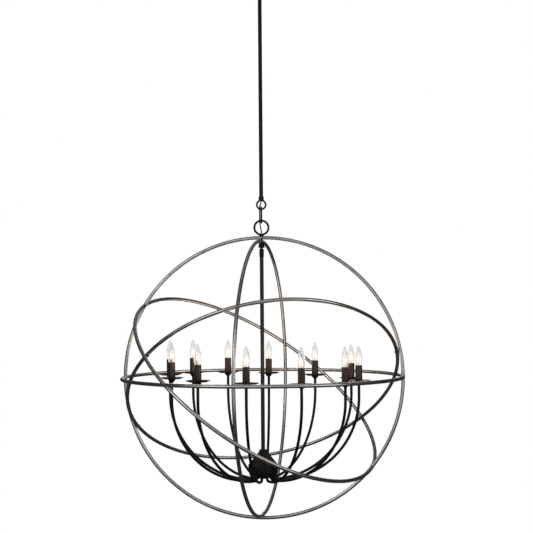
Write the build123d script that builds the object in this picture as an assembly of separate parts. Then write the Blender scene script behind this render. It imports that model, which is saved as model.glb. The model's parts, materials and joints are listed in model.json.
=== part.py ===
from build123d import *
import math
import os

# Orb chandelier with twelve candle lights, hung on a rod from a ceiling canopy.
# Millimetres, +Z up. The origin is on the ceiling plane, on the axis of the rod.

# Ceiling fitting
CROSSBAR_LENGTH = 110.0
CROSSBAR_WIDTH = 22.0
CROSSBAR_THICK = 2.5
BOX_SCREW_SPACING = 88.9
BOX_SLOT_WIDTH = 5.0
BOX_SLOT_LENGTH = 12.0
GROUND_SCREW_X = 27.0
GROUND_SCREW_OD = 4.0
GROUND_HEAD_OD = 8.0
GROUND_HEAD_THICK = 2.0
GROUND_SLOT = 1.0
NIPPLE_OD = 9.5
NIPPLE_ID = 6.5
NIPPLE_GRIP = 16.0
NIPPLE_NUT_FLATS = 15.0
NIPPLE_NUT_THICK = 4.0
CANOPY_OD = 127.0
CANOPY_HEIGHT = 34.0
CANOPY_RIM_HEIGHT = 5.0
CANOPY_FLAT_R = 22.0
CANOPY_WALL = 1.2
BARREL_OD = 25.0
BARREL_LENGTH = 26.0
BARREL_DROP = 12.0
CANOPY_LOOP_R = 10.2
CANOPY_LOOP_WIRE = 5.0
COLLAR_OD = 36.0
COLLAR_THICK = 7.0

# Rod, loops and links
ROD_OD = 14.0
ROD_ID = 10.4
ROD_LENGTH = 762.0
ROD_LOOP_R = 16.1
ROD_LOOP_WIRE = 6.6
ROD_COLLAR_OD = 19.0
ROD_COLLAR_LENGTH = 13.0
SPIGOT_LENGTH = 18.0
LINK_LENGTH = 63.0
LINK_WIDTH = 27.0
LINK_WIRE = 7.0
ORB_LOOP_R = 25.4
ORB_LOOP_WIRE = 7.6
ORB_LOOP_BASE_OD = 16.0
ORB_LOOP_BASE_DROP = 4.5

# Supply cord between the loops
CORD_OD = 4.4
CORD_BORE = 5.6
CORD_SIDE_X = -6.3
CORD_SIDE_Y = -7.4
CORD_BORE_REACH = 7.0
CORD_BEND_SHARE = 0.45

# Orb of five round-bar rings
ORB_OD = 1016.0
BAR_OD = 12.7
FRONT_YAW = -6.0
SIDE_YAW = -10.9
TILT_A_LEAN = 38.5
TILT_A_TURN = 326.8
TILT_A_SHIFT = -33.0
TILT_B_LEAN = 38.6
TILT_B_TURN = 104.8
TILT_B_SHIFT = -37.0
HOOP_SEAM = 20.0
RIVET_OD = 4.0
RIVET_HEAD_OD = 8.0
RIVET_HEAD_THICK = 2.4
RIVET_SINK = 0.5
RIVET_BITE = 2.0

# Stem
TOP_NUT_FLATS = 18.0
TOP_NUT_THICK = 12.0
FLANGE_OD = 23.0
FLANGE_THICK = 5.0
STUD_NECK = 5.0
COUPLING_OD = 16.6
COUPLING_LENGTH = 28.0
STEM_OD = 14.0
STEM_ID = 10.8

# Hub, measured down from the centre of the orb
HUB_TOP_DROP = 259.0
HUB_NECK_OD = 28.0
HUB_NECK_HEIGHT = 6.0
HUB_OD = 107.0
HUB_SKIRT = 4.0
HUB_SPLIT_DROP = 317.0
HUB_BOWL_RIM = 8.0
HUB_FLOOR_DROP = 353.0
HUB_FLOOR_OD = 95.0
HUB_WALL = 2.0
HUB_FLOOR_THICK = 3.0
HUB_CAP_OD = 24.0
HUB_CAP_THICK = 10.0

# Arms and candles, measured from the centre of the orb
LIGHT_COUNT = 12
LIGHT_PHASE = -8.1
ARM_OD = 10.0
ARM_ID = 7.6
ARM_ROOT_R = 36.0
ARM_CURL_R = 12.0
ARM_LOW_DROP = 366.0
ARM_SWIVELS = (2.0, -4.0, 2.5, 4.5, 1.0, -2.5, -4.0, 2.5, -1.0, -1.0, 0.0, 3.5)
CANDLE_R = 345.0
LIGHT_DROP = 6.0
LIGHT_DIP = 11.0
ARM_NUT_FLATS = 15.0
ARM_NUT_THICK = 6.0
ARM_NUT_TURN = 30.0
CUP_OD = 24.0
CUP_FOOT_OD = 12.4
CUP_HEIGHT = 11.0
CUP_RIM = 5.0
BOBECHE_OD = 85.0
BOBECHE_WALL = 1.2
BOBECHE_RIM = 4.5
BOBECHE_FLAT_R = 30.0
SOCKET_OD = 19.0
SOCKET_HEIGHT = 48.0
SOCKET_GRIP = 8.0
SLEEVE_OD = 24.8
SLEEVE_WALL = 1.7
SLEEVE_HEIGHT = 57.0
BULB_BASE_OD = 11.6
BULB_BASE_HEIGHT = 18.0
BULB_BASE_BEVEL = 2.9
BULB_NECK_R = 6.5
BULB_OD = 26.0
BULB_BELLY = 30.0
BULB_HEIGHT = 79.0
BULB_TIP_R = 1.3
BULB_GLASS = 0.8

# Clearances
FIT = 0.1
BORE_FIT = 0.3
SWING_GAP = 0.3
NEST_GAP = 0.2
WELD_GAP = 0.15

# Heights that follow from the sizes, from the ceiling down
barrel_top = -BARREL_DROP - (CANOPY_HEIGHT - BARREL_LENGTH)
barrel_bottom = barrel_top - BARREL_LENGTH
nipple_end = barrel_top - NIPPLE_GRIP
canopy_loop_z = barrel_bottom - CANOPY_LOOP_R
upper_link_hinge = canopy_loop_z - CANOPY_LOOP_R


def link_heights(carrier_z, carrier_wire):
    """Bow centres of a link hung on a wire whose centre is at carrier_z."""
    top = carrier_z + carrier_wire / 2 + SWING_GAP + LINK_WIRE / 2
    return top, top - (LINK_LENGTH - LINK_WIRE)


def hung_loop(link_bottom, loop_r, loop_wire):
    """Centre of a loop whose top wire rests in the lower bow of a link."""
    return link_bottom + LINK_WIRE / 2 + SWING_GAP + loop_wire / 2 - loop_r


upper_link_top, upper_link_bottom = link_heights(upper_link_hinge, CANOPY_LOOP_WIRE)
rod_top_loop_z = hung_loop(upper_link_bottom, ROD_LOOP_R, ROD_LOOP_WIRE)
rod_top = rod_top_loop_z - ROD_LOOP_R - ROD_COLLAR_LENGTH
rod_bottom = rod_top - ROD_LENGTH
rod_low_loop_z = rod_bottom - ROD_COLLAR_LENGTH - ROD_LOOP_R
lower_link_hinge = rod_low_loop_z - ROD_LOOP_R
lower_link_top, lower_link_bottom = link_heights(lower_link_hinge, ROD_LOOP_WIRE)
orb_loop_z = hung_loop(lower_link_bottom, ORB_LOOP_R, ORB_LOOP_WIRE)
orb_top = orb_loop_z - ORB_LOOP_R - ORB_LOOP_BASE_DROP
orb_z = orb_top - FIT - ORB_OD / 2

outer_r = (ORB_OD - BAR_OD) / 2
inner_r = outer_r - BAR_OD - NEST_GAP
stud_od = NIPPLE_OD
top_nut_top = orb_z + inner_r - BAR_OD / 2 - NEST_GAP
flange_top = top_nut_top - TOP_NUT_THICK
flange_bottom = flange_top - FLANGE_THICK
coupling_top = flange_bottom - STUD_NECK
stem_top = coupling_top - COUPLING_LENGTH / 2
coupling_bottom = coupling_top - COUPLING_LENGTH
hub_top = orb_z - HUB_TOP_DROP
hub_split = orb_z - HUB_SPLIT_DROP
hub_floor = orb_z - HUB_FLOOR_DROP
stem_bottom = hub_floor - HUB_CAP_THICK + HUB_WALL
pan_z = orb_z - LIGHT_DROP
socket_z = pan_z + BOBECHE_WALL
arm_top = socket_z + SOCKET_GRIP
socket_top = socket_z + SOCKET_HEIGHT
bulb_z = socket_top + BORE_FIT - BULB_BASE_HEIGHT


def ring_solid(outer, inner, top, bottom):
    """Upright round tube or washer on the axis, from diameters and heights."""
    body = Pos(0, 0, (top + bottom) / 2) * Cylinder(outer / 2, top - bottom)
    return body - Pos(0, 0, (top + bottom) / 2) * Cylinder(inner / 2, top - bottom)


def rod_solid(diameter, top, bottom):
    """Upright solid cylinder on the axis."""
    return Pos(0, 0, (top + bottom) / 2) * Cylinder(diameter / 2, top - bottom)


def hex_nut(flats, inner, top, bottom):
    """Hexagon nut on the axis, by its width across flats."""
    outline = RegularPolygon(flats / 2, 6, major_radius=False) - Circle(inner / 2)
    return Pos(0, 0, bottom) * extrude(outline, top - bottom)


def turned(points):
    """Solid of revolution about Z from a closed outline of (radius, height) points."""
    outline = Polyline([(r, 0, z) for r, z in points], close=True)
    return revolve(make_face(outline), Axis.Z)


def half_rings(radius, bar, seam=0.0):
    """Two half rings of round bar about Z, which meet at the seam angle and opposite it."""
    section = Plane.XZ * Pos(radius, 0) * Circle(bar / 2)
    half = revolve(section, Axis.Z, revolution_arc=180)
    return [Rot(0, 0, seam) * half, Rot(0, 0, seam + 180) * half]


def facing_loop(radius, wire, height):
    """Upper and lower half of a wire ring in the XZ plane, centred on the axis."""
    return [Pos(0, 0, height) * Rot(90, 0, 0) * half for half in half_rings(radius, wire)]


def bearing(k):
    return LIGHT_PHASE + 360.0 * k / LIGHT_COUNT


def around(piece):
    """Copies of a piece at each light's place in the hub, turned about the axis."""
    return [Rot(0, 0, bearing(k)) * piece for k in range(LIGHT_COUNT)]


def light_lift(k):
    """Height of one light over the mean: as photographed, their ring dips a little towards +X."""
    return -LIGHT_DIP * math.cos(math.radians(bearing(k)))


def on_arm(k, piece):
    """A piece of one light, made along +X, turned with its arm about the arm's root in the hub."""
    swivel = Rot(0, 0, ARM_SWIVELS[k % len(ARM_SWIVELS)])
    return Rot(0, 0, bearing(k)) * Pos(ARM_ROOT_R, 0, 0) * swivel * Pos(-ARM_ROOT_R, 0, 0) * piece


def at_lights(piece):
    """Copies of a candle piece, made on the Z axis, at the top of each arm."""
    return [on_arm(k, Pos(CANDLE_R, 0, light_lift(k)) * piece) for k in range(LIGHT_COUNT)]


def save(name, *solids):
    """Writes one node, made of one or more separate solids."""
    shape = solids[0] if len(solids) == 1 else Compound(children=list(solids))
    export_step(shape, os.path.join("parts", name + ".step"))


# Ceiling fitting


def crossbar():
    strap = Rectangle(CROSSBAR_LENGTH, CROSSBAR_WIDTH)
    strap -= Circle(NIPPLE_OD / 2 + FIT)
    strap -= Pos(GROUND_SCREW_X, 0) * Circle(GROUND_SCREW_OD / 2 + FIT)
    for side in (-1, 1):
        slot = SlotOverall(BOX_SLOT_LENGTH, BOX_SLOT_WIDTH)
        strap -= Pos(side * BOX_SCREW_SPACING / 2, 0) * slot
    return extrude(strap, -CROSSBAR_THICK)


def ground_screw():
    head_bottom = -CROSSBAR_THICK - GROUND_HEAD_THICK
    screw = rod_solid(GROUND_HEAD_OD, -CROSSBAR_THICK, head_bottom)
    screw += rod_solid(GROUND_SCREW_OD, 0, -CROSSBAR_THICK)
    screw -= Pos(0, 0, head_bottom) * Box(2 * GROUND_HEAD_OD, GROUND_SLOT, GROUND_HEAD_THICK)
    return Pos(GROUND_SCREW_X, 0, 0) * screw


def canopy():
    rim = CANOPY_OD / 2
    hole = BARREL_OD / 2 + BORE_FIT * 2
    low = -CANOPY_HEIGHT
    start = (rim, 0, -CANOPY_RIM_HEIGHT)
    end = (CANOPY_FLAT_R, 0, low)
    inner_start = (rim - CANOPY_WALL, 0, -CANOPY_RIM_HEIGHT)
    inner_end = (CANOPY_FLAT_R, 0, low + CANOPY_WALL)
    dome = EllipticalCenterArc((CANOPY_FLAT_R, -CANOPY_RIM_HEIGHT), rim - CANOPY_FLAT_R,
                               CANOPY_HEIGHT - CANOPY_RIM_HEIGHT, 270, arc_size=90)
    lining = EllipticalCenterArc((CANOPY_FLAT_R, -CANOPY_RIM_HEIGHT), rim - CANOPY_FLAT_R - CANOPY_WALL,
                                 CANOPY_HEIGHT - CANOPY_RIM_HEIGHT - CANOPY_WALL, 270, arc_size=90)
    outline = [
        Plane.XZ * dome,
        Plane.XZ * lining,
        Polyline(start, (rim, 0, 0), (rim - CANOPY_WALL, 0, 0), inner_start),
        Polyline(end, (hole, 0, low), (hole, 0, low + CANOPY_WALL), inner_end),
    ]
    return revolve(make_face(outline), Axis.Z)


def canopy_loop():
    body = rod_solid(BARREL_OD, barrel_top, barrel_bottom)
    for half in facing_loop(CANOPY_LOOP_R, CANOPY_LOOP_WIRE, canopy_loop_z):
        body += half
    body -= rod_solid(NIPPLE_OD + 2 * FIT, barrel_top, nipple_end - FIT)
    wireway = Cylinder(CORD_BORE / 2, BARREL_LENGTH * 2)
    return body - Pos(CORD_SIDE_X, CORD_SIDE_Y, barrel_bottom) * wireway


# Rod, loops and links


def link(top, bottom):
    bow_r = (LINK_WIDTH - LINK_WIRE) / 2
    outline = SlotCenterToCenter(top - bottom - 2 * bow_r, 2 * bow_r)
    path = Pos(0, 0, (top + bottom) / 2) * Rot(0, 90, 0) * outline.wire()
    section = Plane(origin=path @ 0, z_dir=path % 0) * Circle(LINK_WIRE / 2)
    return sweep(section, path=path)


def rod_loop(loop_z, end):
    """Loop with a collar and a spigot in the rod, for the rod end at the given height."""
    upper, lower = facing_loop(ROD_LOOP_R, ROD_LOOP_WIRE, loop_z)
    if end > loop_z:
        near, far = upper, lower
        collar = rod_solid(ROD_COLLAR_OD, end, loop_z + ROD_LOOP_R)
        spigot = rod_solid(ROD_ID - 2 * FIT, end + SPIGOT_LENGTH, end)
        bore = rod_solid(CORD_BORE, end + 2 * SPIGOT_LENGTH, loop_z)
    else:
        near, far = lower, upper
        collar = rod_solid(ROD_COLLAR_OD, loop_z - ROD_LOOP_R, end)
        spigot = rod_solid(ROD_ID - 2 * FIT, end, end - SPIGOT_LENGTH)
        bore = rod_solid(CORD_BORE, loop_z, end - 2 * SPIGOT_LENGTH)
    return near + collar + spigot - bore + far


def orb_loop():
    upper, lower = facing_loop(ORB_LOOP_R, ORB_LOOP_WIRE, orb_loop_z)
    base = rod_solid(ORB_LOOP_BASE_OD, orb_loop_z - ORB_LOOP_R, orb_top)
    stud = rod_solid(stud_od, orb_top, stem_top + FIT)
    bore = rod_solid(CORD_BORE, orb_loop_z, stem_top - STEM_OD)
    return lower + base + stud - bore + upper


def cord(points):
    """Round cord on straight runs joined by the largest arcs that they allow."""
    route = [Vector(*p) for p in points]
    radii = []
    for before, here, after in zip(route, route[1:], route[2:]):
        turn = math.radians((here - before).get_angle(after - here))
        shorter = min((here - before).length, (after - here).length)
        radii.append(CORD_BEND_SHARE * shorter / math.tan(turn / 2))
    path = FilletPolyline(*route, radius=radii)
    section = Plane(origin=path @ 0, z_dir=path % 0) * Circle(CORD_OD / 2)
    return sweep(section, path=path)


def cord_ends():
    """Four short cords: each loop's wireway to the middle of the link beside it."""
    x, y = CORD_SIDE_X, CORD_SIDE_Y
    upper_mid = (upper_link_top + upper_link_bottom) / 2
    lower_mid = (lower_link_top + lower_link_bottom) / 2
    high = barrel_bottom + CORD_BORE_REACH
    near = rod_top_loop_z - ROD_LOOP_R
    mouth = rod_low_loop_z + ROD_LOOP_R
    base = orb_loop_z - ORB_LOOP_R
    return {
        "upper_cord_a": [
            (x, y, high), (x - 0.1, y - 0.1, high - 9), (x - 0.4, y - 0.2, high - 18),
            (x - 0.1, y + 0.1, high - 28), (x, y, upper_mid + 10), (x, y, upper_mid)],
        "upper_cord_b": [
            (x, y, upper_mid), (x, y, near + 43), (x - 0.2, y - 0.1, near + 32.2),
            (x + 0.4, y + 1.8, near + 23), (-3.0, -2.6, near + 15), (0, 0, near + 6),
            (0, 0, near - CORD_BORE_REACH + 3)],
        "lower_cord_a": [
            (0, 0, mouth + CORD_BORE_REACH - 3), (0, 0, mouth - 6), (-3.0, -2.6, mouth - 15),
            (x + 0.4, y + 1.8, mouth - 23), (x - 0.2, y - 0.1, mouth - 32.2), (x, y, mouth - 43),
            (x, y, lower_mid)],
        "lower_cord_b": [
            (x, y, lower_mid), (x, y, base + 61), (x + 0.2, y + 0.1, base + 50.5),
            (x + 0.7, y + 1.8, base + 39), (-3.1, -2.6, base + 27), (-0.8, -0.4, base + 16),
            (0, 0, base + 5.5), (0, 0, base - CORD_BORE_REACH + 2)],
    }


# Orb rings


class Hoop:
    """A round-bar ring on a sphere about the orb's centre, by its normal and its shift along it."""

    def __init__(self, normal, sphere_r, shift=0.0):
        self.normal = Vector(*normal).normalized()
        self.sphere_r = sphere_r
        self.shift = shift

    def halves(self, grow=0.0):
        centre = Vector(0, 0, orb_z) + self.normal * self.shift
        radius = math.sqrt(self.sphere_r**2 - self.shift**2)
        place = Plane(origin=centre, z_dir=self.normal)
        return [place * half for half in half_rings(radius, BAR_OD + 2 * grow, HOOP_SEAM)]


def leaning(lean, turn):
    """Unit normal leaning from +Z by one angle towards a bearing."""
    tilt, heading = math.radians(lean), math.radians(turn)
    return (math.sin(tilt) * math.cos(heading), math.sin(tilt) * math.sin(heading), math.cos(tilt))


def crossings(outside, inside):
    """Where an inside hoop passes under an outside one: the two places, as inside and outside points."""
    along = outside.normal.cross(inside.normal).normalized()
    lean = outside.normal.dot(inside.normal)
    span = 1 - lean**2
    nearest = (outside.normal * ((outside.shift - inside.shift * lean) / span)
               + inside.normal * ((inside.shift - outside.shift * lean) / span))
    places = []
    for side in (-1, 1):
        ends = []
        for hoop in (inside, outside):
            reach = math.sqrt(hoop.sphere_r**2 - nearest.length**2)
            ends.append(Vector(0, 0, orb_z) + nearest + along * (side * reach))
        places.append(tuple(ends))
    return places


def rivet(place, grow=0.0):
    """Rivet with its head sunk in the inside of an inner hoop and its shank in the outer one."""
    low, high = place
    out = (high - low).normalized()
    seat = Plane(origin=low - out * (BAR_OD / 2 - RIVET_SINK), z_dir=out)
    grip = BAR_OD / 2 - RIVET_SINK + (high - low).length + RIVET_BITE + grow
    shank = extrude(seat * Circle(RIVET_OD / 2 + grow), grip)
    head = extrude(seat.offset(grow) * Circle(RIVET_HEAD_OD / 2 + grow), -RIVET_HEAD_THICK - 2 * grow)
    return shank + head


def less(halves, tools):
    """Both halves of a hoop with every tool cut away."""
    for tool in tools:
        halves = [half - tool for half in halves]
    return halves


def orb_rings():
    front_turn, side_turn = math.radians(FRONT_YAW), math.radians(SIDE_YAW)
    front = Hoop((math.sin(front_turn), -math.cos(front_turn), 0), outer_r)
    side = Hoop((math.cos(side_turn), math.sin(side_turn), 0), inner_r)
    equator = Hoop((0, 0, 1), outer_r)
    tilt_a = Hoop(leaning(TILT_A_LEAN, TILT_A_TURN), outer_r, TILT_A_SHIFT)
    tilt_b = Hoop(leaning(TILT_B_LEAN, TILT_B_TURN), inner_r, TILT_B_SHIFT)
    bars = {
        "ring_front": front.halves(),
        "ring_side": side.halves(),
        "ring_equator": less(equator.halves(), front.halves(WELD_GAP)),
        "ring_tilt_a": less(tilt_a.halves(), front.halves(WELD_GAP) + equator.halves(WELD_GAP)),
        "ring_tilt_b": less(tilt_b.halves(), side.halves(WELD_GAP)),
    }
    stud_hole = rod_solid(stud_od + 2 * FIT, orb_top, top_nut_top)
    bars["ring_front"] = less(bars["ring_front"], [stud_hole])
    bars["ring_side"] = less(bars["ring_side"], [stud_hole])
    pairs = [
        ("ring_front", front, "ring_side", side),
        ("ring_equator", equator, "ring_side", side),
        ("ring_tilt_a", tilt_a, "ring_side", side),
        ("ring_front", front, "ring_tilt_b", tilt_b),
        ("ring_equator", equator, "ring_tilt_b", tilt_b),
        ("ring_tilt_a", tilt_a, "ring_tilt_b", tilt_b),
    ]
    rivets = []
    for outside_name, outside, inside_name, inside in pairs:
        for place in crossings(outside, inside):
            at_stud = place[0].Z > orb_z and math.hypot(place[0].X, place[0].Y) < stud_od
            if at_stud:
                continue
            hole = rivet(place, FIT / 2)
            bars[outside_name] = less(bars[outside_name], [hole])
            bars[inside_name] = less(bars[inside_name], [hole])
            rivets.append(rivet(place))
    return {name: halves[0] + halves[1] for name, halves in bars.items()}, rivets


# Stem and hub


def stem_coupling():
    body = ring_solid(COUPLING_OD, stud_od + 2 * FIT, coupling_top, coupling_bottom)
    return body - rod_solid(STEM_OD + 2 * FIT, stem_top + FIT, coupling_bottom)


def hub_cover():
    rim, neck, hole = HUB_OD / 2, HUB_NECK_OD / 2, STEM_OD / 2 + FIT
    shoulder = hub_top - HUB_NECK_HEIGHT
    skirt = hub_split + HUB_SKIRT
    return turned([
        (hole, hub_top), (neck, hub_top), (neck, shoulder), (rim, skirt), (rim, hub_split),
        (rim - HUB_WALL, hub_split), (rim - HUB_WALL, skirt - HUB_WALL / 2),
        (neck - HUB_WALL, shoulder - HUB_WALL), (hole, shoulder - HUB_WALL)])


def hub_body():
    rim, floor_r, hole = HUB_OD / 2, HUB_FLOOR_OD / 2, STEM_OD / 2 + FIT
    bowl = hub_split - HUB_BOWL_RIM
    plate = hub_floor + HUB_FLOOR_THICK
    down = (0, 0, -1)
    outer_curve = TangentArc((rim, 0, bowl), (floor_r, 0, hub_floor), tangent=down)
    lining = TangentArc((rim - HUB_WALL, 0, bowl), (floor_r - HUB_WALL, 0, plate), tangent=down)
    edge = Polyline(outer_curve @ 0, (rim, 0, hub_split), (rim - HUB_WALL, 0, hub_split), lining @ 0)
    floor = Polyline(outer_curve @ 1, (hole, 0, hub_floor), (hole, 0, plate), lining @ 1)
    body = revolve(make_face([outer_curve, lining, edge, floor]), Axis.Z)
    arm_hole = Pos(ARM_ROOT_R, 0, hub_floor) * Cylinder(ARM_OD / 2 + FIT, HUB_FLOOR_THICK * 3)
    for hole_tool in around(arm_hole):
        body -= hole_tool
    return body


def hub_cap():
    body = rod_solid(HUB_CAP_OD, hub_floor, hub_floor - HUB_CAP_THICK)
    body = fillet(body.edges().sort_by(Axis.Z)[0], HUB_CAP_THICK / 2)
    return body - rod_solid(STEM_OD + 2 * FIT, hub_floor, stem_bottom - FIT)


# Arms, made along +X, and candles, made on the Z axis


def arm(top):
    low = orb_z - ARM_LOW_DROP
    root_top = hub_floor + HUB_FLOOR_THICK + ARM_NUT_THICK + FIT
    curl_end = ARM_ROOT_R + ARM_CURL_R
    bend_r = CANDLE_R - curl_end
    runs = [
        Line((ARM_ROOT_R, root_top), (ARM_ROOT_R, low + ARM_CURL_R)),
        CenterArc((curl_end, low + ARM_CURL_R), ARM_CURL_R, 180, 90),
        CenterArc((curl_end, low + bend_r), bend_r, 270, 90),
        Line((CANDLE_R, low + bend_r), (CANDLE_R, top)),
    ]
    path = Plane.XZ * Wire([run.edge() for run in runs])
    section = Plane(origin=path @ 0, z_dir=path % 0) * (Circle(ARM_OD / 2) - Circle(ARM_ID / 2))
    return sweep(section, path=path)


def candle_cup():
    rim, hole = CUP_OD / 2, ARM_OD / 2 + FIT
    foot = pan_z - CUP_HEIGHT
    return turned([
        (hole, pan_z), (rim, pan_z), (rim, pan_z - CUP_RIM), (CUP_FOOT_OD / 2, foot), (hole, foot)])


def bobeche():
    hole, rim = ARM_OD / 2 + FIT, BOBECHE_OD / 2
    lip = pan_z + BOBECHE_RIM
    return turned([
        (hole, pan_z), (BOBECHE_FLAT_R, pan_z), (rim, lip), (rim, lip + BOBECHE_WALL),
        (BOBECHE_FLAT_R, socket_z), (hole, socket_z)])


def socket():
    body = rod_solid(SOCKET_OD, socket_top, socket_z)
    body -= rod_solid(ARM_OD + 2 * FIT, arm_top + FIT, socket_z)
    return body - rod_solid(BULB_BASE_OD + 2 * BORE_FIT, socket_top, bulb_z - BORE_FIT)


def bulb():
    """Flame-tip glass over a screw base, as two solids."""
    base_top = bulb_z + BULB_BASE_HEIGHT
    belly_r, belly_z = BULB_OD / 2, base_top + BULB_BELLY
    tip_z = base_top + BULB_HEIGHT

    def skin(inset):
        start = (BULB_NECK_R - inset, 0, base_top)
        belly = (belly_r - inset, 0, belly_z)
        tip = (BULB_TIP_R - inset, 0, tip_z - inset)
        flare = TangentArc(belly, start, tangent=(0, 0, -1))
        flame = TangentArc(belly, tip, tangent=(0, 0, 1))
        return start, tip, [flare, flame]

    start, tip, outer = skin(0.0)
    inner_start, inner_tip, lining = skin(BULB_GLASS)
    seams = [
        Line(start, inner_start),
        Polyline(tip, (0, 0, tip_z), (0, 0, inner_tip[2]), inner_tip),
    ]
    glass = revolve(make_face(outer + lining + seams), Axis.Z)
    base_r = BULB_BASE_OD / 2
    base = turned([
        (0, bulb_z), (base_r - BULB_BASE_BEVEL, bulb_z), (base_r, bulb_z + BULB_BASE_BEVEL),
        (base_r, base_top - FIT), (0, base_top - FIT)])
    return glass, base


def main():
    os.makedirs("parts", exist_ok=True)
    collar_bottom = -CANOPY_HEIGHT - COLLAR_THICK
    nut_bottom = -CROSSBAR_THICK - NIPPLE_NUT_THICK
    save("crossbar", crossbar())
    save("ground_screw", ground_screw())
    save("ceiling_nipple", ring_solid(NIPPLE_OD, NIPPLE_ID, 0, nipple_end))
    save("nipple_nut", hex_nut(NIPPLE_NUT_FLATS, NIPPLE_OD + 2 * FIT, -CROSSBAR_THICK, nut_bottom))
    save("canopy", canopy())
    save("canopy_loop", canopy_loop())
    save("collar_ring", ring_solid(COLLAR_OD, BARREL_OD + 4 * BORE_FIT, -CANOPY_HEIGHT, collar_bottom))

    save("upper_link", link(upper_link_top, upper_link_bottom))
    save("rod", ring_solid(ROD_OD, ROD_ID, rod_top, rod_bottom))
    save("rod_loop_top", rod_loop(rod_top_loop_z, rod_top))
    save("rod_loop_bottom", rod_loop(rod_low_loop_z, rod_bottom))
    save("lower_link", link(lower_link_top, lower_link_bottom))
    save("orb_loop", orb_loop())
    for name, points in cord_ends().items():
        save(name, cord(points))

    bars, rivets = orb_rings()
    for name, bar in bars.items():
        save(name, *bar.solids())
    save("ring_rivets", *rivets)

    save("top_nut", hex_nut(TOP_NUT_FLATS, stud_od + 2 * FIT, top_nut_top, flange_top))
    save("stem_flange", ring_solid(FLANGE_OD, stud_od + 2 * FIT, flange_top, flange_bottom))
    save("stem_coupling", stem_coupling())
    save("stem", ring_solid(STEM_OD, STEM_ID, stem_top, stem_bottom))
    save("hub_cover", hub_cover())
    save("hub_body", hub_body())
    save("hub_cap", hub_cap())

    plate = hub_floor + HUB_FLOOR_THICK
    nut = Rot(0, 0, ARM_NUT_TURN) * hex_nut(ARM_NUT_FLATS, ARM_OD + 2 * FIT, plate + ARM_NUT_THICK, plate)
    save("arm_nuts", *around(Pos(ARM_ROOT_R, 0, 0) * nut))
    save("candle_cups", *at_lights(candle_cup()))
    save("bobeches", *at_lights(bobeche()))
    save("sockets", *at_lights(socket()))
    sleeve = ring_solid(SLEEVE_OD, SLEEVE_OD - 2 * SLEEVE_WALL, socket_z + SLEEVE_HEIGHT, socket_z)
    save("candle_sleeves", *at_lights(sleeve))
    glass, base = bulb()
    glasses, bases = at_lights(glass), at_lights(base)
    for k in range(LIGHT_COUNT):
        save(f"arm_{k + 1:02d}", on_arm(k, arm(arm_top + light_lift(k))))
        save(f"bulb_{k + 1:02d}", glasses[k], bases[k])


main()
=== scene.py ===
"""Looks of the orb chandelier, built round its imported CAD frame."""
import json
import math

import bpy
import numpy as np
from mathutils import Euler, Matrix, Vector


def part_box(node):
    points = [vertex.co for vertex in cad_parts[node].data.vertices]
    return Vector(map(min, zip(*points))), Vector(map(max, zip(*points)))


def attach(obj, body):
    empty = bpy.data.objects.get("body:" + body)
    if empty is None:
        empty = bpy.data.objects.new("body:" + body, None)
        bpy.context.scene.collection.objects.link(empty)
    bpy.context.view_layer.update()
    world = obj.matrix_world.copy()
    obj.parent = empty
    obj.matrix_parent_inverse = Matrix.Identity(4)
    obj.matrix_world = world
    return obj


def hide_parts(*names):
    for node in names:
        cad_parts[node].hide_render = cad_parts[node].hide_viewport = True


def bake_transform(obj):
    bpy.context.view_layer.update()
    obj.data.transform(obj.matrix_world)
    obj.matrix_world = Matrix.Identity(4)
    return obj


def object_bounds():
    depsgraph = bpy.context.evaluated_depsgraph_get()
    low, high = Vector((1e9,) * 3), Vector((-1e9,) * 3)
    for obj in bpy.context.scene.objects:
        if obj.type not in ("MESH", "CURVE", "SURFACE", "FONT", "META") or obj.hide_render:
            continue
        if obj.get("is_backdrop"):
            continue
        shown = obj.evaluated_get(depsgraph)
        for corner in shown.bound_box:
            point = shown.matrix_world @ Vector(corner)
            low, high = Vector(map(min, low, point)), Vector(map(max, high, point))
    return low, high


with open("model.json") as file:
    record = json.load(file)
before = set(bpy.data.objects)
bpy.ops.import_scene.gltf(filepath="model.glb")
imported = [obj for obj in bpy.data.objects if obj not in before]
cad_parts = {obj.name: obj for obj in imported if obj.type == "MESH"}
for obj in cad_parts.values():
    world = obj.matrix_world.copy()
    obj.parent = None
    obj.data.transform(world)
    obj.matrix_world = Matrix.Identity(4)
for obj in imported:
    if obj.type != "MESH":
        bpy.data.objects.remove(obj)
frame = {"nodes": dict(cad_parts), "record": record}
cad_low, cad_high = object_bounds()
scene = bpy.context.scene
MM = 0.001
LIGHTS = 12

# Heights and radii of the frame, in metres, read from its nodes
equator_low, equator_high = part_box("ring_equator")
ORB_Z = (equator_low.z + equator_high.z) / 2
ORB_R = (equator_high.x - equator_low.x) / 2
BAR_R = (equator_high.z - equator_low.z) / 2
CENTRE = Vector((0, 0, ORB_Z))
light_names = [f"bulb_{k + 1:02d}" for k in range(LIGHTS)]
light_feet = []
for light_name in light_names:
    low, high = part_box(light_name)
    light_feet.append(Vector(((low.x + high.x) / 2, (low.y + high.y) / 2, low.z)))
BULB_TIP = high.z - low.z


# Materials


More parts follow.
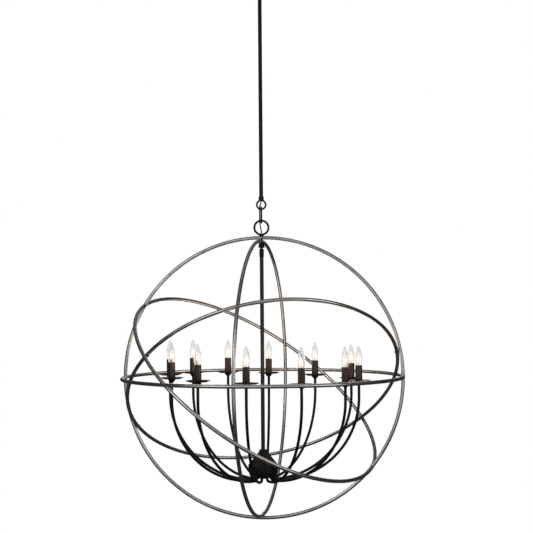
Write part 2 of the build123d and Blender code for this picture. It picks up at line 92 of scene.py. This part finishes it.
class Shade:
    """A material's node tree with short ways to add nodes."""

    def __init__(self, name):
        self.material = bpy.data.materials.new(name)
        self.material.use_nodes = True
        self.tree = self.material.node_tree
        self.surface = self.tree.nodes["Principled BSDF"]
        self.place = self.add("ShaderNodeTexCoord").outputs["Object"]

    def add(self, kind, **values):
        node = self.tree.nodes.new(kind)
        for key, value in values.items():
            setattr(node, key, value)
        return node

    def join(self, source, target):
        self.tree.links.new(source, target)

    def feed(self, socket, source):
        """Join a source to one of the surface's own sockets."""
        self.join(source, self.surface.inputs[socket])

    def set(self, **values):
        """Set sockets of the surface to values that are the same all over."""
        for key, value in values.items():
            self.surface.inputs[key.replace("_", " ")].default_value = value

    def noise(self, scale, detail, place=None):
        node = self.add("ShaderNodeTexNoise")
        node.inputs["Scale"].default_value = scale
        node.inputs["Detail"].default_value = detail
        self.join(place or self.place, node.inputs["Vector"])
        return node.outputs["Fac"]

    def height(self):
        """Height of each point above the piece's own origin."""
        node = self.add("ShaderNodeSeparateXYZ")
        self.join(self.place, node.inputs["Vector"])
        return node.outputs["Z"]

    def ramp(self, source, stops):
        """Colours at stops of (position, colour), and mixed between them."""
        node = self.add("ShaderNodeValToRGB")
        marks = node.color_ramp.elements
        while len(marks) < len(stops):
            marks.new(0.5)
        for mark, (at, colour) in zip(marks, stops):
            mark.position = at
            mark.color = (*colour, 1.0)
        self.join(source, node.inputs["Fac"])
        return node.outputs["Color"]

    def span(self, source, low, high, start=0.0, end=1.0):
        """The source's range from start to end, spread from low to high."""
        node = self.add("ShaderNodeMapRange")
        limits = {"From Min": start, "From Max": end, "To Min": low, "To Max": high}
        for socket, value in limits.items():
            node.inputs[socket].default_value = value
        self.join(source, node.inputs["Value"])
        return node.outputs["Result"]

    def math(self, operation, first, second):
        node = self.add("ShaderNodeMath", operation=operation)
        for socket, value in zip(node.inputs, (first, second)):
            if isinstance(value, (int, float)):
                socket.default_value = value
            else:
                self.join(value, socket)
        return node.outputs[0]

    def bump(self, height, strength, distance):
        node = self.add("ShaderNodeBump")
        node.inputs["Strength"].default_value = strength
        node.inputs["Distance"].default_value = distance
        self.join(height, node.inputs["Height"])
        self.feed("Normal", node.outputs["Normal"])


def satin_paint(name, dark, light, rough, specular):
    """Sprayed satin finish: cloudy tone, fine orange peel."""
    shade = Shade(name)
    cloud = shade.noise(scale=38, detail=4)
    shade.feed("Base Color", shade.ramp(cloud, [(0.3, dark), (0.7, light)]))
    shade.feed("Roughness", shade.span(shade.noise(scale=240, detail=3), *rough))
    shade.bump(shade.noise(scale=900, detail=2), strength=0.12, distance=0.0004)
    shade.set(Specular_IOR_Level=specular)
    return shade.material


def bare_metal(name, dark, light):
    """Turned or plated metal: mottled tone and fine machining marks."""
    shade = Shade(name)
    cloud = shade.noise(scale=60, detail=5)
    shade.feed("Base Color", shade.ramp(cloud, [(0.3, dark), (0.72, light)]))
    squeeze = shade.add("ShaderNodeMapping")
    squeeze.inputs["Scale"].default_value = (1.0, 1.0, 14.0)
    shade.join(shade.place, squeeze.inputs["Vector"])
    marks = shade.noise(scale=260, detail=2, place=squeeze.outputs["Vector"])
    shade.feed("Roughness", shade.span(marks, 0.25, 0.4))
    shade.bump(marks, strength=0.1, distance=0.0002)
    shade.set(Metallic=1.0)
    return shade.material


PEWTER = [(0.32, (0.19, 0.185, 0.18)), (0.5, (0.28, 0.273, 0.266)), (0.68, (0.38, 0.372, 0.364))]
PATCH_SHARE = 0.7
STREAK_SHARE = 0.3
STREAK_REACH = 0.05


def pewter_bar(name, normal, shift):
    """Antiqued steel bar: streaks that follow the ring, dark patina in patches."""
    shade = Shade(name)
    axis = Vector(normal).normalized()
    move = shade.add("ShaderNodeVectorMath", operation="SUBTRACT")
    move.inputs[1].default_value = CENTRE + axis * shift
    shade.join(shade.place, move.inputs[0])
    level = shade.add("ShaderNodeMapping", vector_type="VECTOR")
    level.inputs["Rotation"].default_value = axis.rotation_difference(Vector((0, 0, 1))).to_euler()
    shade.join(move.outputs["Vector"], level.inputs["Vector"])
    parts = shade.add("ShaderNodeSeparateXYZ")
    shade.join(level.outputs["Vector"], parts.inputs["Vector"])
    plane = shade.add("ShaderNodeCombineXYZ")
    shade.join(parts.outputs["X"], plane.inputs["X"])
    shade.join(parts.outputs["Y"], plane.inputs["Y"])
    radius = shade.add("ShaderNodeVectorMath", operation="LENGTH")
    shade.join(plane.outputs["Vector"], radius.inputs[0])
    bearing = shade.math("ARCTAN2", parts.outputs["Y"], parts.outputs["X"])
    along = shade.add("ShaderNodeCombineXYZ")
    shade.join(shade.math("MULTIPLY", bearing, STREAK_REACH), along.inputs["X"])
    shade.join(radius.outputs["Value"], along.inputs["Y"])
    shade.join(parts.outputs["Z"], along.inputs["Z"])
    streaks = shade.noise(scale=620, detail=3, place=along.outputs["Vector"])
    patches = shade.noise(scale=9, detail=4)
    tone = shade.math("ADD", shade.math("MULTIPLY", patches, PATCH_SHARE),
                      shade.math("MULTIPLY", streaks, STREAK_SHARE))
    shade.feed("Base Color", shade.ramp(tone, PEWTER))
    shade.feed("Roughness", shade.span(streaks, 0.2, 0.32))
    shade.bump(streaks, strength=0.03, distance=0.0002)
    shade.set(Metallic=1.0)
    return shade.material


YARN_LEAN = 0.6
YARN_SCALE = 420


def braided_jacket():
    """Woven cover of the supply cord: two crossing sets of fine threads."""
    shade = Shade("cord_jacket")
    threads = []
    for lean in (YARN_LEAN, -YARN_LEAN):
        wave = shade.add("ShaderNodeTexWave", wave_type="BANDS", bands_direction="Z")
        wave.inputs["Scale"].default_value = YARN_SCALE
        tilt = shade.add("ShaderNodeMapping")
        tilt.inputs["Rotation"].default_value = (lean, lean, 0)
        shade.join(shade.place, tilt.inputs["Vector"])
        shade.join(tilt.outputs["Vector"], wave.inputs["Vector"])
        threads.append(wave.outputs["Fac"])
    weave = shade.math("MULTIPLY", *threads)
    black = [(0.0, (0.004, 0.004, 0.004)), (1.0, (0.016, 0.0155, 0.015))]
    shade.feed("Base Color", shade.ramp(weave, black))
    shade.bump(weave, strength=0.4, distance=0.0004)
    shade.set(Roughness=0.75, Specular_IOR_Level=0.06)
    return shade.material


def clear_glass():
    """Clear glass with a painted warm glow beside the filament, and faintly grey towards the tip."""
    shade = Shade("bulb_clear")
    climb = shade.span(shade.height(), 0.0, 1.0, end=BULB_TIP)
    # Painted glow: the base colour is warm low on the glass, where the filament's light falls, and greyer
    # towards the tip
    painted_glow_tint = [(0.2, (0.96, 0.91, 0.86)), (0.5, (0.9, 0.875, 0.85)), (0.75, (0.85, 0.85, 0.85))]
    shade.feed("Base Color", shade.ramp(climb, painted_glow_tint))
    # Painted glow: the glass itself gives off warm light low down, fading out towards the tip
    warmth = [(0.2, (0.09, 0.07, 0.05)), (0.45, (0.05, 0.04, 0.028)), (0.7, (0.0, 0.0, 0.0))]
    shade.feed("Emission Color", shade.ramp(climb, warmth))
    shade.set(Roughness=0.03, IOR=1.45, Transmission_Weight=1.0, Emission_Strength=0.6)
    return shade.material


def glowing_wire():
    """Lit filament, unevenly hot."""
    shade = Shade("filament_glow")
    heat = [(0.3, (1.0, 0.72, 0.42)), (0.7, (1.0, 0.86, 0.62))]
    shade.feed("Emission Color", shade.ramp(shade.noise(scale=900, detail=1), heat))
    shade.set(Emission_Strength=2.5, Roughness=0.6)
    return shade.material


SOOT = ((0.0028, 0.0026, 0.0024), (0.007, 0.0063, 0.0057))
BLACK = satin_paint("black_satin", *SOOT, rough=(0.34, 0.46), specular=0.09)
STEM_BLACK = satin_paint("stem_satin", *SOOT, rough=(0.28, 0.38), specular=0.22)
BRONZE = satin_paint("sleeve_bronze", (0.011, 0.0062, 0.0036), (0.021, 0.0122, 0.0072),
                     rough=(0.26, 0.36), specular=0.24)
PHENOLIC = satin_paint("socket_phenolic", (0.012, 0.01, 0.009), (0.03, 0.026, 0.022),
                       rough=(0.55, 0.7), specular=0.3)
GREEN = satin_paint("ground_green", (0.02, 0.13, 0.04), (0.04, 0.2, 0.07),
                    rough=(0.25, 0.4), specular=0.5)
ZINC = bare_metal("zinc_plate", (0.42, 0.43, 0.44), (0.68, 0.69, 0.71))
BRASS = bare_metal("turned_brass", (0.5, 0.36, 0.14), (0.78, 0.6, 0.28))
CORD = braided_jacket()
GLASS = clear_glass()
GLOW = glowing_wire()


def leaning(lean, turn):
    """Unit normal that leans from +Z by one angle towards a bearing, both in degrees."""
    tilt, bearing = math.radians(lean), math.radians(turn)
    return (math.sin(tilt) * math.cos(bearing), math.sin(tilt) * math.sin(bearing), math.cos(tilt))


# Each ring's normal, and how far its plane lies from the orb's centre, as the part's source sets them
FRONT_TURN, SIDE_TURN = math.radians(-6.0), math.radians(-10.9)
RINGS = {
    "ring_front": ((math.sin(FRONT_TURN), -math.cos(FRONT_TURN), 0), 0.0),
    "ring_side": ((math.cos(SIDE_TURN), math.sin(SIDE_TURN), 0), 0.0),
    "ring_equator": ((0, 0, 1), 0.0),
    "ring_tilt_a": (leaning(38.5, 326.8), -0.033),
    "ring_tilt_b": (leaning(38.6, 104.8), -0.037),
}
ring_finish = {name: pewter_bar(name + "_pewter", *place) for name, place in RINGS.items()}
own_finish = {**ring_finish, "ring_rivets": ring_finish["ring_side"], "stem": STEM_BLACK}
slot_finish = {
    "zinc_steel": ZINC,
    "ground_green": GREEN,
    "brass": BRASS,
    "black_metal": BLACK,
    "socket_phenolic": PHENOLIC,
    "sleeve_bronze": BRONZE,
    "bulb_glass": GLASS,
    "cord_jacket": CORD,
}
for subpart in frame["record"]["subparts"]:
    slots = frame["nodes"][subpart["node"]].data.materials
    slots.clear()
    slots.append(own_finish.get(subpart["node"]) or slot_finish[subpart["material_slot"]])


# Mesh helpers

ON_AXIS = 1e-7


def make_mesh(name, points, faces, finish, smooth=True):
    mesh = bpy.data.meshes.new(name)
    mesh.from_pydata([tuple(p) for p in points], [], faces)
    mesh.update()
    mesh.materials.append(finish)
    mesh.polygons.foreach_set("use_smooth", [smooth] * len(mesh.polygons))
    return mesh


def place_mesh(name, mesh, spot=(0, 0, 0)):
    piece = bpy.data.objects.new(name, mesh)
    piece.location = spot
    scene.collection.objects.link(piece)
    return piece


def lathe(profile, sides, closed=False):
    """Points and faces of a profile of (radius, height) turned about the Z axis."""
    points, rows = [], []
    for radius, height in profile:
        if radius < ON_AXIS:
            rows.append([len(points)] * sides)
            points.append((0, 0, height))
            continue
        rows.append([len(points) + k for k in range(sides)])
        for k in range(sides):
            angle = 2 * math.pi * k / sides
            points.append((radius * math.cos(angle), radius * math.sin(angle), height))
    faces = []
    pairs = list(zip(rows, rows[1:]))
    if closed:
        pairs.append((rows[-1], rows[0]))
    for lower, upper in pairs:
        for k in range(sides):
            after = (k + 1) % sides
            corners = []
            for corner in (lower[k], lower[after], upper[after], upper[k]):
                if corner not in corners:
                    corners.append(corner)
            if len(corners) > 2:
                faces.append(corners)
    return points, faces


def tube(points, radius, sides, loop=False):
    """Points and faces of a round tube along a line of points."""
    line = np.array(points, float)
    count = len(line)
    if loop:
        ahead = np.roll(line, -1, 0) - np.roll(line, 1, 0)
    else:
        ahead = np.gradient(line, axis=0)
    ahead /= np.linalg.norm(ahead, axis=1)[:, None]
    spin = np.linspace(0, 2 * math.pi, sides, endpoint=False)
    # The first ring's start is square to the line and to a direction that no line here runs in
    up = np.cross(ahead[0], (0.3, 0.5, 0.81))
    rings = []
    for spot, way in zip(line, ahead):
        up = up - way * (up @ way)
        up /= np.linalg.norm(up)
        out = np.cross(way, up)
        rings.append(spot + radius * (np.outer(np.cos(spin), up) + np.outer(np.sin(spin), out)))
    faces = []
    for i in range(count if loop else count - 1):
        j = (i + 1) % count
        for k in range(sides):
            after = (k + 1) % sides
            faces.append((i * sides + k, i * sides + after, j * sides + after, j * sides + k))
    if not loop:
        faces.append(tuple(range(sides))[::-1])
        faces.append(tuple(range((count - 1) * sides, count * sides)))
    return np.concatenate(rings), faces


def gather(parts):
    """Several (points, faces) groups as one."""
    points, faces = [], []
    for some, corners in parts:
        start = len(points)
        points.extend(tuple(p) for p in some)
        faces.extend(tuple(c + start for c in face) for face in corners)
    return points, faces


# Bulbs: thin glass, screw base, mount, wires and filament, made once from the foot up and put at each light

BASE_TOP = 18 * MM
BELLY = (13.0 * MM, BASE_TOP + 30 * MM)
NECK = (6.5 * MM, BASE_TOP)
TIP_R = 1.3 * MM
TIP_PINCH = 0.3
GLASS_WALL = 0.7 * MM
GLASS_SIDES = 40
NECK_STEPS, TIP_STEPS = 12, 24


def bow(start, end, steps):
    """Points of the arc from start, where it runs upright, to end, as (radius, height)."""
    across, rise = start[0] - end[0], end[1] - start[1]
    bend = (across**2 + rise**2) / (2 * across)
    sweep = math.asin(rise / bend)
    turns = [sweep * k / steps for k in range(1, steps + 1)]
    return [(start[0] - bend * (1 - math.cos(turn)), start[1] + bend * math.sin(turn)) for turn in turns]


def glass_outline(inset):
    """One skin of the glass from its neck to its tip, drawn in a little below the tip."""
    belly = (BELLY[0] - inset, BELLY[1])
    below = bow(belly, (NECK[0] - inset, NECK[1]), NECK_STEPS)
    above = bow(belly, (TIP_R - inset, BULB_TIP - inset), TIP_STEPS)
    pinched = []
    for radius, height in above:
        share = (height - belly[1]) / (BULB_TIP - belly[1])
        pinched.append((radius * (1 - TIP_PINCH * share**3 * (1 - share)), height))
    return below[::-1] + [belly] + pinched


def bulb_glass():
    """Outer and inner skin, closed over the tip and round the neck's edge."""
    outer = glass_outline(0.0) + [(0.0, BULB_TIP)]
    inner = glass_outline(GLASS_WALL)
    top = (0.0, inner[-1][1])
    return lathe(outer + [top] + inner[::-1], GLASS_SIDES, closed=True)


SHELL_R = 5.5 * MM
SHELL_FOOT, SHELL_TOP = 3.2 * MM, BASE_TOP - 0.2 * MM
SHELL_SIDES, SHELL_STEPS = 36, 44
THREAD_PITCH = 2.5 * MM
THREAD_DEPTH = 0.045
THREAD_RUNOUT = 2 * MM
CONTACT = [(0.0, 0.0), (1.2 * MM, 0.05 * MM), (2.4 * MM, 0.5 * MM), (3.6 * MM, 1.6 * MM)]


def bulb_base():
    """Screw shell with a rolled thread, insulator and centre contact."""
    steps = [SHELL_FOOT + (SHELL_TOP - SHELL_FOOT) * k / SHELL_STEPS for k in range(SHELL_STEPS + 1)]
    points, faces = lathe([(SHELL_R, height) for height in steps], SHELL_SIDES)
    rolled = []
    for x, y, z in points:
        ease = max(0.0, min(1.0, (z - SHELL_FOOT) / THREAD_RUNOUT, (SHELL_TOP - z) / THREAD_RUNOUT))
        wave = math.sin(2 * math.pi * (z - SHELL_FOOT) / THREAD_PITCH - math.atan2(y, x))
        grow = 1 + THREAD_DEPTH * ease * wave
        rolled.append((x * grow, y * grow, z))
    contact = lathe(CONTACT + [(SHELL_R, SHELL_FOOT)], SHELL_SIDES)
    lid = lathe([(SHELL_R, SHELL_TOP), (0.0, SHELL_TOP)], SHELL_SIDES)
    return gather([(rolled, faces), contact, lid])


# Radius or reach and height above the base, in mm
MOUNT_OUTLINE = [(0.0, 0), (4.4, 0), (3.0, 4), (1.9, 9), (1.6, 15), (0.0, 16)]
WIRE_LINE = [(1.2, 14), (2.2, 20), (3.6, 26)]
MOUNT_SIDES, WIRE_SIDES = 16, 6
WIRE_R = 0.3 * MM
FILAMENT_R = 0.5 * MM
FILAMENT_HALF = 3.6 * MM
FILAMENT_FOOT = BASE_TOP + 26 * MM
FILAMENT_RISE = 9 * MM
COIL_R = 1.3 * MM
COIL_TURNS, COIL_STEPS = 4, 48


def bulb_mount():
    """Glass stem that carries the support wires."""
    return lathe([(radius * MM, BASE_TOP + height * MM) for radius, height in MOUNT_OUTLINE], MOUNT_SIDES)


def bulb_wires():
    """The two support wires, leaning apart from the stem to the ends of the filament."""
    wires = []
    for side in (-1, 1):
        line = [(side * reach * MM, 0, BASE_TOP + height * MM) for reach, height in WIRE_LINE]
        wires.append(tube(line, WIRE_R, WIRE_SIDES))
    return gather(wires)


def bulb_filament():
    """Coiled wire that climbs and falls between the support wires."""
    line = []
    for k in range(COIL_STEPS + 1):
        share = k / COIL_STEPS
        sway = math.sin(math.pi * share)
        turn = 2 * math.pi * COIL_TURNS * share
        height = FILAMENT_FOOT + FILAMENT_RISE * sway + COIL_R * math.cos(turn) * sway
        line.append(((2 * share - 1) * FILAMENT_HALF, COIL_R * math.sin(turn) * sway, height))
    return tube(line, FILAMENT_R, WIRE_SIDES)


bulb_meshes = {
    "glass": make_mesh("bulb_glass", *bulb_glass(), GLASS),
    "base": make_mesh("bulb_base", *bulb_base(), BRASS),
    "mount": make_mesh("bulb_mount", *bulb_mount(), GLASS),
    "wires": make_mesh("bulb_wires", *bulb_wires(), ZINC),
    "filament": make_mesh("bulb_filament", *bulb_filament(), GLOW),
}
for name, foot in zip(light_names, light_feet):
    for part, mesh in bulb_meshes.items():
        piece = place_mesh(f"{name}_{part}", mesh, foot)
        if part == "glass":
            piece.visible_shadow = False
            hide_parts(name)
        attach(piece, name)


# Weld beads round each cut bar, on both sides of the bar that passes through it

BEAD_R = 1.1 * MM
BEAD_SEAT = BAR_R + 0.5 * MM
BEAD_STEPS, BEAD_SIDES = 40, 8
side_low, side_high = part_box("ring_side")
OUTER_SPHERE = ORB_R - BAR_R
INNER_SPHERE = (side_high.z - side_low.z) / 2 - BAR_R
WELDS = [
    ("ring_front", "ring_equator", OUTER_SPHERE),
    ("ring_front", "ring_tilt_a", OUTER_SPHERE),
    ("ring_equator", "ring_tilt_a", OUTER_SPHERE),
    ("ring_side", "ring_tilt_b", INNER_SPHERE),
]


def crossings(through, cut, sphere):
    """Both places where two rings on one sphere cross, with the way each ring runs there."""
    (first, first_shift), (second, second_shift) = RINGS[through], RINGS[cut]
    first, second = Vector(first), Vector(second)
    lean = first.dot(second)
    nearest = first * (first_shift - second_shift * lean) + second * (second_shift - first_shift * lean)
    nearest /= 1 - lean**2
    reach = math.sqrt(sphere**2 - nearest.length_squared)
    along = first.cross(second).normalized() * reach
    for spot in (nearest - along, nearest + along):
        yield CENTRE + spot, first.cross(spot).normalized(), second.cross(spot).normalized()


def bead_lines(spot, through, cut):
    """The closed lines round the cut bar where it meets each side of the other."""
    out = through.cross(cut).normalized()
    across, aside = out.cross(cut), out.cross(through)
    for side in (-1, 1):
        line = []
        for k in range(BEAD_STEPS):
            turn = 2 * math.pi * k / BEAD_STEPS
            wide, high = BAR_R * math.cos(turn), BAR_R * math.sin(turn)
            reach = side * math.sqrt(BEAD_SEAT**2 - high**2) - wide * across.dot(aside)
            line.append(spot + across * wide + out * high + cut * (reach / cut.dot(aside)))
        yield line


bead_tubes = []
for through, cut, sphere in WELDS:
    for place in crossings(through, cut, sphere):
        bead_tubes += [tube(line, BEAD_R, BEAD_SIDES, loop=True) for line in bead_lines(*place)]
beads = place_mesh("weld_beads", make_mesh("weld_beads", *gather(bead_tubes), ring_finish["ring_side"]))
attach(beads, "orb")


# Supply cord: four short runs, each listed with the joints beside it. The points are in mm

CORD_D = 4.4 * MM
CORD_SIDES = 14
ROUTE_STEPS = 10
ROUTES = {
    "upper_cord_a": [
        (-6.3, -7.4, -39.0), (-6.1, -7.1, -48.0), (-6.2, -7.1, -57.0), (-6.1, -7.0, -67.0),
        (-6.3, -7.4, -78.1), (-6.3, -7.4, -88.1)],
    "upper_cord_b": [
        (-6.3, -7.4, -88.1), (-6.3, -7.4, -98.2), (-6.5, -7.5, -109.0), (-5.9, -5.6, -118.2),
        (-3.0, -2.6, -126.2), (0, 0, -135.2), (0, 0, -145.2)],
    "lower_cord_a": [
        (0, 0, -925.2), (0, 0, -935.2), (-3.0, -2.6, -944.2), (-5.9, -5.6, -952.2),
        (-6.5, -7.5, -961.4), (-6.3, -7.4, -972.2), (-6.3, -7.4, -982.3)],
    "lower_cord_b": [
        (-6.3, -7.4, -982.3), (-6.3, -7.4, -992.5), (-6.1, -7.3, -1003.0), (-5.6, -5.6, -1014.5),
        (-3.1, -2.6, -1026.5), (-0.8, -0.4, -1037.5), (0, 0, -1048.0), (0, 0, -1058.5)],
}
BENDS = {
    "upper_cord_a": ("ceiling", "upper_link"),
    "upper_cord_b": ("upper_link", "downrod"),
    "lower_cord_a": ("downrod", "lower_link"),
    "lower_cord_b": ("lower_link", "orb"),
}


def spline_points(route):
    """The smooth line of a cord's route, read from its spline."""
    curve = bpy.data.curves.new("route", "CURVE")
    curve.dimensions = "3D"
    curve.resolution_u = ROUTE_STEPS
    spline = curve.splines.new("NURBS")
    spline.points.add(len(route) - 1)
    for point, spot in zip(spline.points, route):
        point.co = (*(v * MM for v in spot), 1.0)
    spline.order_u = 3
    spline.use_endpoint_u = True
    holder = bpy.data.objects.new("route", curve)
    scene.collection.objects.link(holder)
    bpy.context.view_layer.update()
    line = bpy.data.meshes.new_from_object(holder)
    points = [tuple(v.co) for v in line.vertices]
    bpy.data.objects.remove(holder)
    bpy.data.curves.remove(curve)
    bpy.data.meshes.remove(line)
    return points


for name, route in ROUTES.items():
    line = spline_points(route)
    jacket = make_mesh(name + "_jacket", *tube(line, CORD_D / 2, CORD_SIDES), CORD)
    cord = place_mesh(name + "_jacket", jacket)
    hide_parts(name)
    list(BENDS[name])
    Vector(line[0])
    Vector(line[-1])
    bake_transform(cord)
    length = sum((Vector(b) - Vector(a)).length for a, b in zip(line, line[1:]))
    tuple(line[0])


# Stage: white surround, pale floor, dark band, soft lamps, the bulbs' own light and the camera

ROOM_TINT = (0.95, 0.97, 1.0, 1.0)
ROOM_LEVEL = 0.58
WHITE = (1.0, 1.0, 1.0, 1.0)


def ray_share(tree):
    """1 for rays from the camera, mirrors and glass, 0 for scattered light."""
    path = tree.nodes.new("ShaderNodeLightPath")
    share = path.outputs["Is Camera Ray"]
    for ray in ("Is Glossy Ray", "Is Transmission Ray"):
        either = tree.nodes.new("ShaderNodeMath")
        either.operation = "MAXIMUM"
        tree.links.new(share, either.inputs[0])
        tree.links.new(path.outputs[ray], either.inputs[1])
        share = either.outputs[0]
    return share


world = bpy.data.worlds.new("white_studio")
scene.world = world
world.use_nodes = True
sky = world.node_tree
plain = sky.nodes["Background"]
plain.inputs["Color"].default_value = ROOM_TINT
plain.inputs["Strength"].default_value = ROOM_LEVEL
white = sky.nodes.new("ShaderNodeBackground")
white.inputs["Color"].default_value = WHITE
white.inputs["Strength"].default_value = 1.0
choose = sky.nodes.new("ShaderNodeMixShader")
sky.links.new(ray_share(sky), choose.inputs["Fac"])
sky.links.new(plain.outputs[0], choose.inputs[1])
sky.links.new(white.outputs[0], choose.inputs[2])
sky.links.new(choose.outputs[0], sky.nodes["World Output"].inputs["Surface"])

FLOOR_Z = cad_low.z - 1.6
FLOOR_REACH = 40.0
FLOOR_FADE = (0.9, 1.8)
FLOOR_WHITE = 0.8


def floor_finish():
    """Pale near the object, where it takes its shadow, and plain white far out."""
    shade = Shade("pale_floor")
    shade.set(Base_Color=(0.86, 0.86, 0.86, 1.0), Roughness=0.9, Specular_IOR_Level=0.1)
    away = shade.add("ShaderNodeVectorMath", operation="LENGTH")
    shade.join(shade.place, away.inputs[0])
    fade = shade.span(away.outputs["Value"], FLOOR_WHITE, 1.0, *FLOOR_FADE)
    lit = shade.add("ShaderNodeEmission")
    mix = shade.add("ShaderNodeMixShader")
    shade.join(shade.math("MULTIPLY", ray_share(shade.tree), fade), mix.inputs["Fac"])
    shade.join(shade.surface.outputs["BSDF"], mix.inputs[1])
    shade.join(lit.outputs["Emission"], mix.inputs[2])
    shade.join(mix.outputs["Shader"], shade.tree.nodes["Material Output"].inputs["Surface"])
    return shade.material


corners = [(x * FLOOR_REACH, y * FLOOR_REACH, 0) for x, y in ((-1, -1), (1, -1), (1, 1), (-1, 1))]
floor_mesh = make_mesh("floor", corners, [(0, 1, 2, 3)], floor_finish(), smooth=False)
floor = place_mesh("floor", floor_mesh, (0, 0, FLOOR_Z))
floor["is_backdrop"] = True

# Dark band round the set, which only reflections see: it paints dark reflections along the edges of the
# bars. It is flat below the orb, paler overhead as a painted reflection of light from above, and opens
# further back at its left and right
BAND_R = 2.6
BAND_FRONT, BAND_BACK = -2.7, 9.0
BAND_OPEN = 1.3
BAND_SIDES = 48
BAND_FLOOR = cad_low.z - 0.43
# Heights over which the band pales, and its tones: a painted reflection of light from above
BAND_PAINTED_LIGHT_HEIGHTS = (ORB_Z + 1.2, ORB_Z + BAND_R)
PAINTED_REFLECTION_TONES = [(0.0, (0.09, 0.09, 0.09)), (1.0, (0.5, 0.5, 0.5))]
band_points, band_faces = [], []
for k in range(BAND_SIDES):
    angle = 2 * math.pi * k / BAND_SIDES
    across, height = BAND_R * math.cos(angle), max(ORB_Z + BAND_R * math.sin(angle), BAND_FLOOR)
    front = BAND_FRONT + BAND_OPEN * math.cos(angle)**4
    band_points += [(across, front, height), (across, BAND_BACK, height)]
    after = (k + 1) % BAND_SIDES
    band_faces.append((2 * k, 2 * k + 1, 2 * after + 1, 2 * after))
reflection_shade = Shade("painted_reflection_band")
# Painted reflection: the band is darker low down and paler overhead
reflection_shade.feed("Base Color", reflection_shade.ramp(reflection_shade.span(reflection_shade.height(), 0.0, 1.0, *BAND_PAINTED_LIGHT_HEIGHTS), PAINTED_REFLECTION_TONES))
reflection_shade.set(Roughness=1.0, Specular_IOR_Level=0.0)
band = place_mesh("dark_band", make_mesh("dark_band", band_points, band_faces, reflection_shade.material))
for ray in ("camera", "diffuse", "transmission", "shadow", "volume_scatter"):
    setattr(band, "visible_" + ray, False)
band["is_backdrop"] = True

# Place, width and height in metres, watts and colour
LAMPS = {
    "key": ((-2.6, -3.4, 0.7), (2.0, 2.4), 70, (1.0, 0.985, 0.96)),
    "fill": ((3.2, -2.6, -0.6), (1.6, 2.6), 38, (1.0, 1.0, 1.0)),
    "top": ((0.4, 0.6, 2.2), (2.6, 2.6), 42, (1.0, 1.0, 1.0)),
}
for name, (place, size, watts, colour) in LAMPS.items():
    panel = bpy.data.lights.new(name, "AREA")
    panel.shape = "RECTANGLE"
    panel.size, panel.size_y = size
    panel.energy = watts
    panel.color = colour
    lamp = bpy.data.objects.new(name, panel)
    lamp.location = place
    lamp.rotation_euler = (CENTRE - Vector(place)).to_track_quat("-Z", "Y").to_euler()
    lamp.visible_camera = False
    scene.collection.objects.link(lamp)

BULB_WATTS = 0.52
BULB_COLOUR = (1.0, 0.79, 0.63)
BULB_SPREAD = 0.06
for name, foot in zip(light_names, light_feet):
    spark = bpy.data.lights.new(name + "_warmth", "POINT")
    spark.energy = BULB_WATTS
    spark.color = BULB_COLOUR
    spark.shadow_soft_size = BULB_SPREAD
    glow = bpy.data.objects.new(name + "_warmth", spark)
    glow.location = foot + Vector((0, 0, BELLY[1]))
    glow.visible_camera = glow.visible_transmission = False
    scene.collection.objects.link(glow)
    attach(glow, name)

# Camera, from a fit to the photograph: its width in pixels, and the pixel where the orb's centre lies
PHOTO = 533
ORB_PIXEL = (261.7, 376.98)
FOCAL_PX = 1111.0
SENSOR = 36.0
DISTANCE = 4.0132
ELEVATION = math.radians(3.47)
ROLL = math.radians(-0.45)
camera_data = bpy.data.cameras.new("camera")
camera_data.sensor_width = SENSOR
camera_data.lens = SENSOR * FOCAL_PX / PHOTO
camera = bpy.data.objects.new("camera", camera_data)
camera.location = (0, -DISTANCE * math.cos(ELEVATION), ORB_Z + DISTANCE * math.sin(ELEVATION))
rise = math.atan((ORB_PIXEL[1] - PHOTO / 2) / FOCAL_PX) - ELEVATION
aside = math.atan((ORB_PIXEL[0] - PHOTO / 2) / FOCAL_PX)
level = Euler((math.pi / 2 + rise, 0, aside)).to_matrix()
camera.rotation_euler = (level @ Matrix.Rotation(ROLL, 3, "Z")).to_euler()
scene.collection.objects.link(camera)
scene.camera = camera
scene.view_settings.view_transform = "Standard"

bpy.context.view_layer.update()
low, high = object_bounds()
